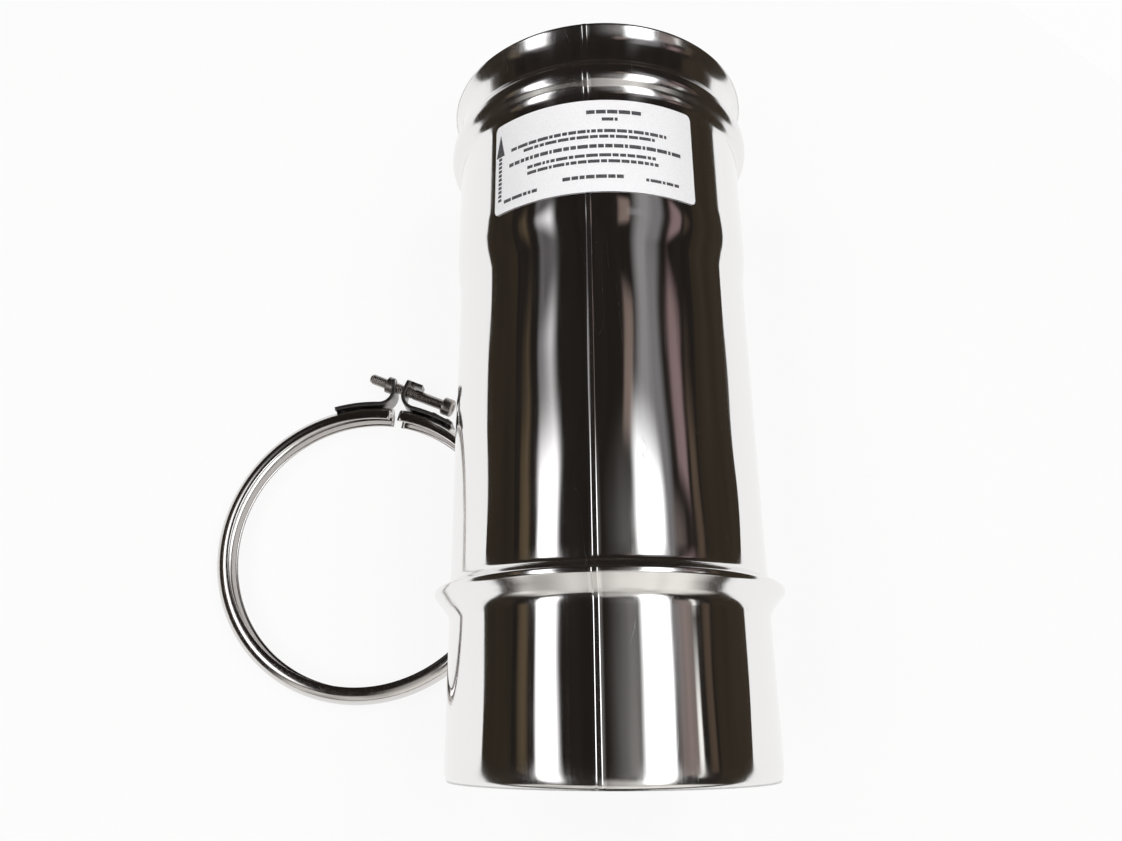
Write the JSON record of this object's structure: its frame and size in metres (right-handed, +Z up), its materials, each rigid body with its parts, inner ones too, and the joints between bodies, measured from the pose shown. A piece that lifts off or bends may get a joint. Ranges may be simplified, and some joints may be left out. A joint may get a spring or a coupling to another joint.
{
  "type": "flue pipe",
  "caption": "Single wall stainless flue pipe with a plain spigot, rolled beads and a flared socket, lying beside its opened screw locking band.",
  "frame": {"origin": "on the pipe's axis, where the spigot's straight wall starts just behind its lead-in", "axes": "+Y along the pipe from spigot to socket mouth, +Z up from the floor that the pipe and its band lie on, +X away from the band"},
  "size_m": [0.2809, 0.3271, 0.1532],
  "materials": {
    "pipe_steel": "bright annealed stainless sheet, near mirror, with fine draw lines",
    "label_paper": "matt white self-adhesive paper",
    "band_steel": "bright rolled stainless sheet",
    "lug_steel": "plain stainless strip",
    "screw_steel": "bright stainless screw"
  },
  "bodies": {
    "pipe_and_band": {"flue_pipe": "pipe_steel", "label": "label_paper", "clamp_band": "band_steel", "head_lug": "lug_steel", "thread_lug": "lug_steel", "lug_rivets": "lug_steel"},
    "screw": {"clamp_screw": "screw_steel"}
  },
  "joints": [
    {"name": "screw_turn", "type": "hinge", "parent": "pipe_and_band", "child": "screw", "pos_m": [-0.0911, 0.18819, -0.0696], "axis": [0.9272, -0.3746, 0], "continuous": true}
  ]
}
